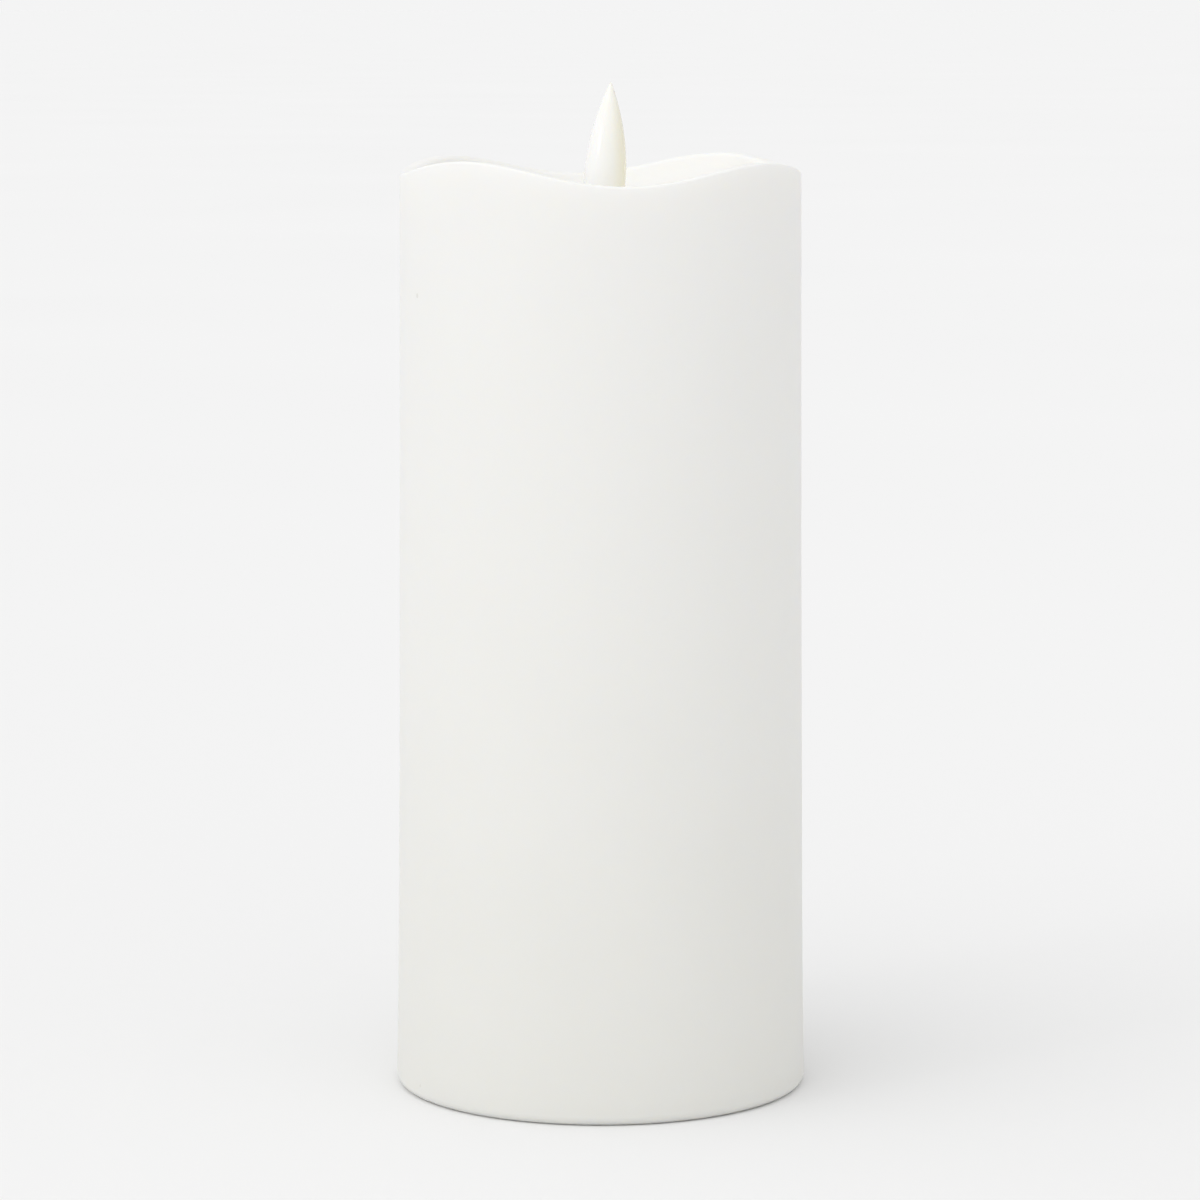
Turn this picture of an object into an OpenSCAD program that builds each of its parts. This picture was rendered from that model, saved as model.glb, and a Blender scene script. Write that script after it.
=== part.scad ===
// Flameless LED pillar candle: a cast wax shell with a wavy melted rim over a
// plastic movement with a swinging flame, two AA cells and a bottom battery door.
// Millimetres, +Z up, origin at the centre of the base, front towards -Y.

/* [Wax shell] */
// Radius of the wall where it meets the rim
rim_r = 37.7; // [36:0.1:40]
// Mean height of the wavy rim
rim_z = 174.7; // [172:0.1:182]
// How much wider the wall is at the base, from the mould's draft
draft = 1; // [0:0.1:1.5]
// Extra spread of the foot
foot_flare = 0.5; // [0:0.1:1]
// Half the height of the rim's main wave
wave_amp = 1.65; // [0:0.05:3]
// Waves round the rim
wave_count = 4; // [3:1:6]
// Bearing of the first crest, degrees
wave_phase = 51; // [0:1:90]
// Radius of the hollow inside
hollow_r = 32; // [31.9:0.1:33]
// Height of the middle of the melted bowl
floor_z = 160.6; // [160.6:0.1:162]

/* [Flame] */
// Height of the flame's tip above its pivot, along the flame
flame_tip = 31.5; // [30:0.1:34]
// Largest radius of the flame
flame_r = 3.95; // [3.4:0.05:4.2]
// Lean of the flame at rest, degrees
flame_lean = 3.5; // [0:0.5:5]

/* [Base] */
// Height of the base cover's outer face above the table
cover_z = 1.2; // [0.8:0.1:1.6]
// Width of the battery door
door_w = 35.8; // [34:0.1:37]
// Depth of the battery door, front to back
door_d = 20.8; // [20:0.1:22]

/* [Hidden] */
$fn = 48;

// Wax
seam_z = 154;             // where the plain turned wall meets the wavy top
roof_z = 150;             // underside of the wax over the hollow
hole_r = 9.5;             // hole in the middle of the bowl
foot_round = 1.8;
flare_fade = 35;          // height over which the foot's spread dies away
sway_amp = 0.68;          // slower unevenness of the rim
sway_phase = 17;
rim_round_out = 0.6;
rim_round_in = 1.3;
rim_land = 1.2;
bowl_r = 13;              // radius of the flat middle of the bowl
bowl_power = 2.3;         // how steeply the bowl climbs at its edge
rim_steps = 72;
seam_lap = 0.02;          // keeps the top's polygon just inside the turned wall

// Movement
pivot_z = floor_z - 1.4;
wire_r = 0.3;
running = 0.06;           // radial clearance of a running fit
collar_r = 9.3;
collar_bore = 5.6;
guide_r = 3.4;            // ring that stops the stem at the end of its swing
collar_bottom = floor_z - 13.6;
flange_r = 11.5;
mouth_z = 2.8;            // flame's open bottom, above the pivot
mouth_r = 2.5;
skin = 0.7;               // flame's wall
stem_r = 1.1;
stem_drop = 23;           // magnet's face below the pivot
weight_shift = 0.78;      // sets the weight off the stem's line, so that the flame hangs leaning
magnet_r = 2.5;
magnet_h = 3;
led_r = 1.5;
led_bearing = 135;
led_tilt = 24;
capsule_r = 14.5;
capsule_wall = 1.5;
capsule_z = 118;
capsule_top = roof_z - 0.2;
screw_x = 10.6;           // screws that join the capsule's halves
screw_z = [capsule_z + 9, capsule_top - 8];
tube_r = 9;
tube_wall = 1.5;
foot_r = 13;              // flange that stands on the tub's roof

// Base
cover_t = 2;
cover_in = cover_z + cover_t;
tub_top = cover_in + 57.3;
roof_in = tub_top - 2;    // underside of the tub's roof
tub_r = 31.7;
tub_wall = 1.8;
door_y = -3;              // centre of the door and of the cells
door_gap = 0.3;
door_round = 4;
hinge_y = door_y - door_d / 2 - 1.8;
hinge_z = cover_z + 0.9;
knuckle_r = 1.1;
pin_r = 0.5;
cell_x = 7.7;
cell_r = 7.1;
cell_body = 49.2;
nub_h = 1.3;
nub_r = 2.75;
plate_t = 0.4;
spring_h = 4;
board_y = 13;
board_t = 1.2;
switch_y = board_y + board_t + 2.3;
cover_screw_r = 26;
cover_screw_at = [30, 150, 270];

// Radius of the wax wall at height z
function wall_r(z) = rim_r + draft * (1 - z / rim_z) + foot_flare * exp(-z / flare_fade);

// Height of the rim at bearing a
function rim_height(a) =
    rim_z + wave_amp * cos(wave_count * (a - wave_phase)) + sway_amp * cos(2 * (a - sway_phase));

function arc(x, y, r, from, to, steps) =
    [for (i = [0:steps]) let (a = from + (to - from) * i / steps) [x + r * cos(a), y + r * sin(a)]];

// Section of the wavy top at bearing a: up the wall, over the rim, down the bowl, into the hole
function top_section(a) =
    let (
        z = rim_height(a),
        wall = wall_r(z) - seam_lap,
        crown_out = wall - rim_round_out,
        crown_in = crown_out - rim_land,
        edge_r = crown_in - rim_round_in,
        edge_z = z - rim_round_in
    )
    concat(
        [[wall_r(seam_z) - seam_lap, seam_z]],
        arc(crown_out, z - rim_round_out, rim_round_out, 0, 90, 5),
        arc(crown_in, z - rim_round_in, rim_round_in, 90, 165, 4),
        [for (i = [1:7]) let (t = i / 7)
            [edge_r + (bowl_r - edge_r) * t, floor_z + (edge_z - floor_z) * pow(1 - t, bowl_power)]],
        [[hole_r + seam_lap, floor_z], [hole_r + seam_lap, seam_z]]
    );

// Solid ring through a list of sections of equal length
module ring_of_sections(sections) {
    n = len(sections);
    m = len(sections[0]);
    points = [for (i = [0:n - 1], p = sections[i]) [p[0] * cos(360 * i / n), p[0] * sin(360 * i / n), p[1]]];
    faces = [for (i = [0:n - 1], j = [0:m - 1])
        let (a = i * m + j, b = i * m + (j + 1) % m, c = ((i + 1) % n) * m + (j + 1) % m, d = ((i + 1) % n) * m + j)
        each [[a, b, c], [a, c, d]]];
    polyhedron(points, faces);
}

function unit(v) = v / norm(v);

// Round wire through a list of points
module wire(path, r, sides = 8, side_hint = [0.31, 0.83, 0.46]) {
    n = len(path);
    rings = [for (i = [0:n - 1])
        let (
            t = unit(path[min(i + 1, n - 1)] - path[max(i - 1, 0)]),
            u = unit(cross(t, side_hint)),
            v = cross(t, u)
        )
        for (k = [0:sides - 1]) path[i] + r * (u * cos(360 * k / sides) + v * sin(360 * k / sides))];
    skin = [for (i = [0:n - 2], k = [0:sides - 1])
        let (a = i * sides + k, b = i * sides + (k + 1) % sides)
        each [[a, a + sides, b + sides], [a, b + sides, b]]];
    ends = [
        [for (k = [0:sides - 1]) k],
        [for (k = [sides - 1:-1:0]) (n - 1) * sides + k]
    ];
    polyhedron(rings, concat(skin, ends));
}

// Points of a cone-shaped coil that climbs from z = 0
function coil_path(r_from, r_to, height, turns, steps = 12) =
    [for (i = [0:turns * steps]) let (s = i / (turns * steps), a = 360 * i / steps)
        [(r_from + (r_to - r_from) * s) * cos(a), (r_from + (r_to - r_from) * s) * sin(a), height * s]];

module rounded_plate(w, d, r, t) {
    linear_extrude(t) {
        square([w, d - 2 * r], center = true);
        square([w - 2 * r, d], center = true);
        for (x = [-1, 1], y = [-1, 1])
            translate([x * (w / 2 - r), y * (d / 2 - r)]) circle(r);
    }
}

module at_pivot() {
    translate([0, 0, pivot_z]) rotate([0, flame_lean, 0]) children();
}

module pan_screw(length, r = 1.1, head_r = 2.2, head_h = 1.2) {
    difference() {
        union() {
            cylinder(r = head_r, h = head_h);
            translate([0, 0, head_h]) cylinder(r = r, h = length - r);
            translate([0, 0, head_h + length - r]) cylinder(r1 = r, r2 = 0.2, h = r);
        }
        for (a = [0, 90]) rotate(a) translate([-1.3, -0.25, -1]) cube([2.6, 0.5, 1.7]);
    }
}

module wax_shell() {
    wall = [for (z = [foot_round + 1, 8, 16, 28, 45, 70, 105, seam_z]) [wall_r(z), z]];
    color("ivory") union() {
        rotate_extrude($fn = rim_steps) polygon(concat(
            [[hollow_r, 0]],
            arc(wall_r(foot_round) - foot_round, foot_round, foot_round, -90, 0, 5),
            wall,
            [[hole_r, seam_z], [hole_r, roof_z], [hollow_r, roof_z]]
        ));
        ring_of_sections([for (i = [0:rim_steps - 1]) top_section(360 * i / rim_steps)]);
    }
}

module collar() {
    color("linen") difference() {
        rotate_extrude() polygon([
            [guide_r, collar_bottom], [collar_r, collar_bottom], [collar_r, floor_z],
            [flange_r, floor_z], [flange_r, floor_z + 0.6], [flange_r - 0.4, floor_z + 1],
            [collar_bore + 0.5, floor_z + 1], [collar_bore, floor_z + 0.5],
            [collar_bore, collar_bottom + 3], [guide_r, collar_bottom + 1]
        ]);
        led_place() translate([0, 0, -9]) cylinder(r = led_r + 0.1, h = 15);
        translate([0, 0, pivot_z]) rotate([90, 0, 0]) cylinder(r = wire_r + 0.02, h = 17.6, center = true);
    }
}

// Half section of a flame shape: round bottom, widest at the crest, then up to the tip
function flame_section(r, tip, from_r, from_z) =
    let (crest = flame_tip - 18)
    concat(
        [[0, from_z]],
        [for (i = [0:5]) let (a = 18 * i)
            [from_r + (r - from_r) * sin(a), from_z + (crest - from_z) * (1 - cos(a))]],
        [for (i = [1:9]) let (s = 1 - i / 9) [r * sin(90 * pow(s, 0.88)), tip - (tip - crest) * s]]
    );

module flame() {
    color("floralwhite") at_pivot() difference() {
        rotate_extrude() polygon(flame_section(flame_r, flame_tip, mouth_r, mouth_z));
        rotate_extrude() polygon(flame_section(flame_r - skin, flame_tip - 1.6, mouth_r - skin, mouth_z + skin));
        translate([0, 0, mouth_z - 1]) cylinder(r = mouth_r - skin, h = 1 + 2 * skin);
    }
}

module flame_stem() {
    cup_z = -stem_drop;
    color("linen") at_pivot() difference() {
        union() {
            rotate([90, 0, 0]) cylinder(r = 1.5, h = 4, center = true);
            translate([0, 0, cup_z + 3.5]) cylinder(r = stem_r, h = stem_drop - 3.5);
            translate([0, 0, 0.5]) cylinder(r = 1.3, h = mouth_z - 1);
            translate([0, 0, mouth_z - 1]) cylinder(r = mouth_r, h = 1);
            translate([0, 0, mouth_z - 0.5]) cylinder(r = mouth_r - skin - 0.02, h = 1.7);
            translate([weight_shift, 0, cup_z]) cylinder(r = magnet_r + 0.6, h = magnet_h + 1);
        }
        rotate([90, 0, 0]) cylinder(r = wire_r + running, h = 8, center = true);
        translate([weight_shift, 0, cup_z - 1]) cylinder(r = magnet_r + 0.02, h = magnet_h + 1);
    }
}

module flame_magnet() {
    color("silver") at_pivot() translate([weight_shift, 0, -stem_drop]) cylinder(r = magnet_r, h = magnet_h);
}

module pivot_wire() {
    color("silver") translate([0, 0, pivot_z]) rotate([90, 0, 0]) cylinder(r = wire_r, h = 17.4, center = true);
}

// Places the foot of the LED's lens at the origin, pointing at the flame
module led_place() {
    rotate(led_bearing) translate([7.2, 0, pivot_z - 6.6]) rotate([0, -led_tilt, 0]) children();
}

module led() {
    color("lightyellow") led_place() {
        cylinder(r = led_r, h = 3.2);
        translate([0, 0, 3.2]) intersection() {
            sphere(led_r);
            cylinder(r = led_r, h = led_r);
        }
        for (y = [-0.6, 0.6]) translate([-0.2, y - 0.2, -3.5]) cube([0.4, 0.4, 3.6]);
    }
}

module capsule_half(side) {
    inner = capsule_r - capsule_wall;
    difference() {
        union() {
            rotate_extrude() polygon([
                [tube_r + 0.05, capsule_z - 6], [tube_r + 2, capsule_z - 6], [tube_r + 2, capsule_z],
                [capsule_r, capsule_z], [capsule_r, capsule_top], [collar_r + 0.05, capsule_top],
                [collar_r + 0.05, capsule_top - 2], [inner, capsule_top - 2], [inner, capsule_z + 2],
                [tube_r - 1.5, capsule_z + 2], [tube_r - 1.5, capsule_z], [tube_r + 0.05, capsule_z]
            ]);
            for (x = [-screw_x, screw_x], z = screw_z)
                translate([x, 0, z]) rotate([90, 0, 0]) intersection() {
                    cylinder(r = 2.2, h = 18, center = true);
                    translate([-x, 0, 0]) cube([2 * inner + 1, 9, 15.2], center = true);
                }
        }
        for (x = [-screw_x, screw_x], z = screw_z)
            translate([x, 0, z]) rotate([90, 0, 0]) {
                cylinder(r = 1.15, h = 14.4, center = true);
                translate([0, 0, 6.2]) cylinder(r = 2.4, h = 10);
            }
        translate([-20, side > 0 ? -40 : 0, 100]) cube([40, 40, 60]);
    }
}

module capsule_front() {
    color("whitesmoke") capsule_half(-1);
}

module capsule_rear() {
    color("gainsboro") capsule_half(1);
}

module capsule_screws() {
    color("silver") for (x = [-screw_x, screw_x], z = screw_z)
        translate([x, -7.4, z]) rotate([-90, 0, 0]) pan_screw(11);
}

module coil_bobbin() {
    color("dimgray") translate([0, 0, capsule_z + 3.2]) rotate_extrude() polygon([
        [1.6, 0], [8.4, 0], [8.4, 1], [3, 1], [3, 10], [8.4, 10], [8.4, 11], [1.6, 11]
    ]);
}

module coil_winding() {
    color("peru") translate([0, 0, capsule_z + 4.3]) difference() {
        rotate_extrude() polygon([[3.05, 0], [7.4, 0], [7.8, 1.2], [7.8, 7.6], [7.4, 8.8], [3.05, 8.8]]);
        translate([0, 0, -1]) cylinder(r = 3.05, h = 11);
    }
}

module drive_board() {
    color("darkgreen") translate([0, 0, capsule_z + 2]) difference() {
        cylinder(r = 12.8, h = board_t);
        translate([0, 0, -1]) cylinder(r = 1.6, h = 4);
        for (x = [-10, 10]) translate([x, 0, -1]) cylinder(r = 1.8, h = 4);
    }
}

module core_tube() {
    color("whitesmoke") translate([0, 0, tub_top]) difference() {
        union() {
            cylinder(r = tube_r, h = capsule_z - tub_top - 0.2);
            cylinder(r = foot_r, h = 2);
            cylinder(r1 = tube_r + 2.2, r2 = tube_r - 0.3, h = 4.5);
        }
        translate([0, 0, -1]) cylinder(r = tube_r - tube_wall, h = capsule_z);
    }
}

// Upright well that holds both cells, as a solid
module cell_well(r, from, to) {
    translate([0, door_y, from]) {
        for (x = [-cell_x, cell_x]) translate([x, 0, 0]) cylinder(r = r, h = to - from);
        translate([-cell_x, -r, 0]) cube([2 * cell_x, 2 * r, to - from]);
    }
}

module battery_tub() {
    color("whitesmoke") difference() {
        union() {
            rotate_extrude() polygon([
                [tub_r - tub_wall, cover_in], [tub_r, cover_in], [tub_r, tub_top - 1], [tub_r - 1, tub_top],
                [0, tub_top], [0, roof_in], [tub_r - tub_wall, roof_in]
            ]);
            cell_well(cell_r + 2, cover_in + 1.4, roof_in + 0.5);
            for (x = [-22, 22]) translate([x - 2, board_y - 2, 12]) cube([4, board_t + 4, roof_in - 11.5]);
            for (a = cover_screw_at) rotate(a) translate([cover_screw_r, 0, cover_in]) {
                cylinder(r = 3, h = 12);
                translate([0, -1, 2]) cube([4.5, 2, 10]);
            }
        }
        cell_well(cell_r + 0.4, 0, roof_in);
        translate([-20.9, board_y - 0.05, 0]) cube([41.8, board_t + 0.1, roof_in]);
        for (a = cover_screw_at) rotate(a) translate([cover_screw_r, 0, 0]) cylinder(r = 1.15, h = cover_in + 10);
        translate([0, 8, roof_in - 1]) cylinder(r = 2.4, h = 4);
        for (x = [-cell_x, cell_x]) translate([x - 1.4, 2, roof_in - 0.6]) cube([2.8, 6, 0.6]);
    }
}

module main_board() {
    color("darkgreen") translate([-20.8, board_y, 4]) cube([41.6, board_t, 46]);
}

module controller_chips() {
    color("darkslategray") for (p = [[-12, 34, 5], [4, 36, 4]])
        translate([p[0], board_y + board_t, p[1]]) {
            cube([p[2], 1.5, 6]);
            for (i = [0:3], x = [-0.9, p[2]]) translate([x, 0, 0.6 + 1.3 * i]) cube([0.9, 0.3, 0.5]);
        }
}

module capacitor() {
    color("midnightblue") translate([-14, board_y + board_t + 0.3, 20]) rotate([-90, 0, 0]) {
        cylinder(r = 3, h = 7.6);
        for (x = [-1.2, 1.2]) translate([x, 0, -0.3]) cylinder(r = 0.3, h = 0.4);
    }
}

module resistors() {
    color("black") for (x = [-4, 0, 4, 8], z = [18, 26])
        translate([x, board_y + board_t, z]) cube([1.6, 0.6, 3.2]);
}

module switch_body() {
    color("silver") difference() {
        translate([-6.4, board_y + board_t, cover_in + 0.3]) cube([12.8, 4.6, 4.6]);
        translate([-3.8, switch_y - 1.4, cover_in]) cube([7.6, 2.8, 3.6]);
    }
}

module switch_knob() {
    color("dimgray") translate([0, switch_y, 0]) difference() {
        translate([-1.5, -1.1, cover_z - 0.7]) cube([3, 2.2, 5.2]);
        for (x = [-0.9, 0, 0.9]) translate([x - 0.15, -2, cover_z - 1]) cube([0.3, 4, 0.6]);
    }
}

module cell(nub_up) {
    flat = nub_up ? 0 : nub_h;
    union() {
        translate([0, 0, flat]) rotate_extrude() polygon([
            [0, 0], [cell_r - 0.5, 0], [cell_r, 0.4], [cell_r, cell_body - 0.4],
            [cell_r - 0.5, cell_body], [0, cell_body]
        ]);
        translate([0, 0, nub_up ? cell_body - 0.1 : 0]) cylinder(r = nub_r, h = nub_h + 0.1);
    }
}

module cell_left() {
    color("seagreen") translate([-cell_x, door_y, cover_in + plate_t + spring_h]) cell(true);
}

module cell_right() {
    color("seagreen") translate([cell_x, door_y, cover_in + plate_t]) cell(false);
}

// Contacts under the tub's roof, each with a tab that leaves through the well's wall
module contact_plates() {
    color("silver") for (x = [-cell_x, cell_x]) translate([x, door_y, roof_in - plate_t]) {
        cylinder(r = 5.4, h = plate_t);
        translate([-1.2, 0, 0]) cube([2.4, 11.4, plate_t]);
    }
}

module contact_spring() {
    gap = roof_in - plate_t - (cover_in + plate_t + nub_h + cell_body);
    color("silver") translate([cell_x, door_y, roof_in - plate_t]) mirror([0, 0, 1])
        translate([0, 0, 0.4]) wire(coil_path(4.6, 2.6, gap - 0.8, 3), 0.35, 6, [0, 0, 1]);
}

module base_cover() {
    color("whitesmoke") difference() {
        union() {
            translate([0, 0, cover_z]) cylinder(r = tub_r, h = cover_t);
            translate([0, 0, cover_in]) difference() {
                cylinder(r = tub_r - tub_wall - 0.1, h = 3);
                translate([0, 0, -1]) cylinder(r = tub_r - tub_wall - 1.4, h = 5);
                for (a = cover_screw_at) rotate(a) translate([cover_screw_r, -4, -0.01]) cube([10, 8, 5]);
            }
        }
        translate([0, door_y, cover_z - 1])
            rounded_plate(door_w + 2 * door_gap, door_d + 2 * door_gap, door_round + door_gap, 4);
        for (x = [-1, 1])
            translate([x * 11 - 3.1, hinge_y - knuckle_r - 0.4, cover_z - 1]) cube([6.2, 4, 4]);
        translate([0, hinge_y, hinge_z]) rotate([0, 90, 0]) cylinder(r = pin_r + 0.02, h = 35.2, center = true);
        translate([-3.8, switch_y - 1.4, cover_z - 1]) cube([7.6, 2.8, 4]);
        translate([-5.2, switch_y - 2.6, cover_z - 0.01]) cube([10.4, 5.2, 0.8]);
        for (a = cover_screw_at) rotate(a) translate([cover_screw_r, 0, cover_z - 1]) {
            cylinder(r = 1.3, h = 4);
            cylinder(r = 2.5, h = 2.2);
        }
        translate([-4, door_y + door_d / 2 - 1, cover_z - 0.01]) cube([8, 4.4, 1]);
    }
}

module cover_screws() {
    color("silver") for (a = cover_screw_at) rotate(a)
        translate([cover_screw_r, 0, cover_z]) pan_screw(8);
}

module battery_door() {
    color("gainsboro") difference() {
        union() {
            translate([0, door_y, cover_z]) rounded_plate(door_w, door_d, door_round, cover_t);
            for (x = [-1, 1]) translate([x * 11, 0, 0]) {
                translate([0, hinge_y, hinge_z]) rotate([0, 90, 0]) cylinder(r = knuckle_r, h = 5.6, center = true);
                translate([-2.8, hinge_y, cover_z]) cube([5.6, 3, cover_t]);
            }
        }
        translate([0, hinge_y, hinge_z]) rotate([0, 90, 0]) cylinder(r = pin_r + running, h = 40, center = true);
        for (x = [-4.6, 4]) translate([x, door_y + door_d / 2 - 6, cover_z - 1]) cube([0.6, 8, 4]);
        for (y = [0:3]) translate([-3, door_y + door_d / 2 - 5 + 1.2 * y, cover_z - 0.01]) cube([6, 0.5, 0.4]);
    }
}

module door_pin() {
    color("silver") translate([0, hinge_y, hinge_z]) rotate([0, 90, 0]) cylinder(r = pin_r, h = 34.8, center = true);
}

module door_bridge() {
    color("silver") translate([0, door_y, cover_in]) rounded_plate(26, 10, 3.9, plate_t);
}

module door_spring() {
    color("silver") translate([-cell_x, door_y, cover_in + plate_t + 0.4])
        wire(coil_path(4.6, 2.6, spring_h - 0.8, 3), 0.35, 6, [0, 0, 1]);
}

// Route of a cell's lead, from its contact's tab to the board, in the right-hand half
module cell_lead() {
    wire([
        [cell_x, 7.7, roof_in - 0.8], [cell_x, 9, roof_in - 1.2], [8, 10.6, roof_in - 3],
        [8.6, 12, roof_in - 6], [9, 12.5, roof_in - 10], [9, 12.6, roof_in - 13]
    ], 0.35);
}

module lead_red() {
    color("red") mirror([1, 0, 0]) cell_lead();
}

module lead_black() {
    color("black") cell_lead();
}

// Four leads up the middle, from the main board to the coil's board
module riser_leads() {
    color("gold") for (x = [-1.5, -0.5, 0.5, 1.5]) wire([
        [x, 12.5, roof_in - 12], [x, 12.3, roof_in - 8], [x, 11, roof_in - 5], [x, 8.6, roof_in - 2],
        [x, 7.1, roof_in - 0.2], [x, 6.8, roof_in + 2.5], [x, 6.2, roof_in + 8], [x, 5, roof_in + 20],
        [x * 1.4, 4, roof_in + 34], [x * 1.2, 4.4, roof_in + 48], [x, 5, capsule_z + 1.95]
    ], 0.35);
}

function polar(r, a, z) = [r * cos(a), r * sin(a), z];

module led_leads() {
    color("gold") for (a = [-4, 4]) wire([
        polar(8.6, led_bearing + a, pivot_z - 10.2), polar(8.6, led_bearing + a, pivot_z - 13),
        polar(9.6, 132 + a, pivot_z - 16), polar(10.8, 120 + a, pivot_z - 20), polar(11, 112 + a, pivot_z - 25),
        polar(11, 110 + a, pivot_z - 31), polar(11, 110 + a, capsule_z + 3.25)
    ], 0.3);
}

wax_shell();
collar();
flame();
flame_stem();
flame_magnet();
pivot_wire();
led();
capsule_front();
capsule_rear();
capsule_screws();
coil_bobbin();
coil_winding();
drive_board();
core_tube();
battery_tub();
main_board();
controller_chips();
capacitor();
resistors();
switch_body();
switch_knob();
cell_left();
cell_right();
contact_plates();
contact_spring();
base_cover();
cover_screws();
battery_door();
door_pin();
door_bridge();
door_spring();
lead_red();
lead_black();
riser_leads();
led_leads();
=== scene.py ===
"""Looks of the flameless LED candle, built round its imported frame.

Sizes are in millimetres, +Z up, front towards -Y; mesh_object turns them into metres.
"""

import math

import bmesh
import bpy
from mathutils import Matrix, Vector, noise


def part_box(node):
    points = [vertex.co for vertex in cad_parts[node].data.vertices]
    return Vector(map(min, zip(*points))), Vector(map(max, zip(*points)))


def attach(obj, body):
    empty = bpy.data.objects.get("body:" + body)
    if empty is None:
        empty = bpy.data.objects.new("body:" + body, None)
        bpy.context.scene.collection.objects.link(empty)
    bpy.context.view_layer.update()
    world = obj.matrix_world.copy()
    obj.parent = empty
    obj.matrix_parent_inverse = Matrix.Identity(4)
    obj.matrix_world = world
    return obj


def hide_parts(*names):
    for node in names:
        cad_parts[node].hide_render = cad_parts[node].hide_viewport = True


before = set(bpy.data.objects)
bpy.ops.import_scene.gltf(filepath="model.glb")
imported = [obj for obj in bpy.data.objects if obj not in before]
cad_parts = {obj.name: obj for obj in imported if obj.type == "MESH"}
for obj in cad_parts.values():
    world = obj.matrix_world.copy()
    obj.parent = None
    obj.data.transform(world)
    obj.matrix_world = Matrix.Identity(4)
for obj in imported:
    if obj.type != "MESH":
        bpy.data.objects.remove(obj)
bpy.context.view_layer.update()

MM = 0.001
TAU = 2 * math.pi


# ---------------------------------------------------------------- sizes
def foot_of(node):
    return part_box(node)[0].z / MM


def top_of(node):
    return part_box(node)[1].z / MM


# Wax: the section of the CAD's wall, rim and bowl
RIM_R = 37.7
RIM_Z = 174.7  # mean height of the rim
DRAFT = 1.0  # how much wider the wall is at the foot than at the rim
FOOT_FLARE = 0.5
FLARE_FADE = 35.0
FOOT_ROUND = 1.8
WAVE_AMP = 1.65
WAVE_COUNT = 4
WAVE_PHASE = math.radians(51)
SWAY_AMP = 0.68
SWAY_PHASE = math.radians(17)
RIM_OUT = 0.45  # the rim's outer rounding
RIM_LAND = 1.35  # the flat between its roundings
RIM_IN = 1.3  # its inner rounding
FOOT_SHADE_TOP = 175.0  # height at which the painted shade towards the foot ends and the wax is palest
COLLAR_LIP = 1.0  # the collar's flange stands on the middle of the bowl
FLOOR_Z = top_of("collar") - COLLAR_LIP
BOWL_R = 13.0
BOWL_POWER = 2.3
HOLE_R = 9.5
HOLLOW_R = 32.0
ROOF_Z = 150.0

# Flame: tip, shoulder and mouth are heights above its pivot
PIVOT_Z = FLOOR_Z - 1.4
PIVOT_WIRE_R = 0.3
PIVOT_WIRE_L = 17.4
FLAME_LEAN = math.radians(3.5)
FLAME_R = 3.95
FLAME_TIP = 31.5
SHOULDER = FLAME_TIP - 18
MOUTH = 2.8
MOUTH_R = 2.5
SKIN = 0.7
TIP_SKIN = 1.6

# LED and coil
LED_BEARING = 135
LED_TILT = 24
LED_R = 1.42
LED_OUT = 7.2
LED_DROP = 6.6
CAPSULE_Z = 118.0
COIL_FOOT = CAPSULE_Z + 4.3
COIL_R = 7.1
COIL_CORE_R = 3.08
COIL_H = 8.6
BOARD_T = 1.2
BOARD_UNDER = CAPSULE_Z + 2.0  # the drive board
BOARD_TOP = BOARD_UNDER + BOARD_T

# Battery tub: plates, springs and cells
PLATE_T = 0.4
COVER_T = 2.0
PLATE_Z = foot_of("base_cover") + COVER_T + PLATE_T  # upper face of the door's bridge plate
ROOF_T = 2.0
ROOF_IN = top_of("battery_tub") - ROOF_T
DOOR_Y = -3.0
CELL_X = 7.7
CELL_R = 7.1
CELL_BODY = 49.2
NUB_R = 2.75
NUB_H = 1.3
SPRING_H = 4.0
SPRING_WIRE = 0.35
CONTACT_GAP = ROOF_IN - PLATE_T - (PLATE_Z + NUB_H + CELL_BODY)

# Main board and what stands on it
BOARD_Y = 13.0
BOARD_FACE = BOARD_Y + BOARD_T
CHIPS = ((-12, 34, 5), (4, 36, 4))  # left edge, lower edge and width
CHIP_H = 6
LEAD_R = 0.35
LED_LEAD_R = 0.3
RISER_X = (-1.5, -0.5, 0.5, 1.5)


# ---------------------------------------------------------------- mesh lists: (vertices, faces)
def mesh_object(name, verts, faces, smooth=True):
    """A mesh object from vertices in millimetres."""
    me = bpy.data.meshes.new(name)
    me.from_pydata([[c * MM for c in v] for v in verts], [], faces)
    me.validate()
    ob = bpy.data.objects.new(name, me)
    bpy.context.collection.objects.link(ob)
    for p in me.polygons:
        p.use_smooth = smooth
    return ob


def joined(name, parts):
    """One object, its normals outwards, from several mesh lists."""
    verts, faces = [], []
    for part_verts, part_faces in parts:
        start = len(verts)
        verts += part_verts
        faces += [tuple(i + start for i in face) for face in part_faces]
    ob = mesh_object(name, verts, faces)
    bm = bmesh.new()
    bm.from_mesh(ob.data)
    bmesh.ops.recalc_face_normals(bm, faces=bm.faces)
    bm.to_mesh(ob.data)
    bm.free()
    return ob


def moved(parts, matrix):
    """The same mesh lists with their vertices moved by a matrix."""
    return [([tuple(matrix @ Vector(v)) for v in verts], faces) for verts, faces in parts]


def arc(x, y, r, start, end, steps):
    """Points of an arc, ends included; angles in degrees."""
    angles = [math.radians(start + (end - start) * i / steps) for i in range(steps + 1)]
    return [(x + r * math.cos(a), y + r * math.sin(a)) for a in angles]


def polar(r, a, z):
    """A point at bearing a, in degrees."""
    a = math.radians(a)
    return (r * math.cos(a), r * math.sin(a), z)


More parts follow.
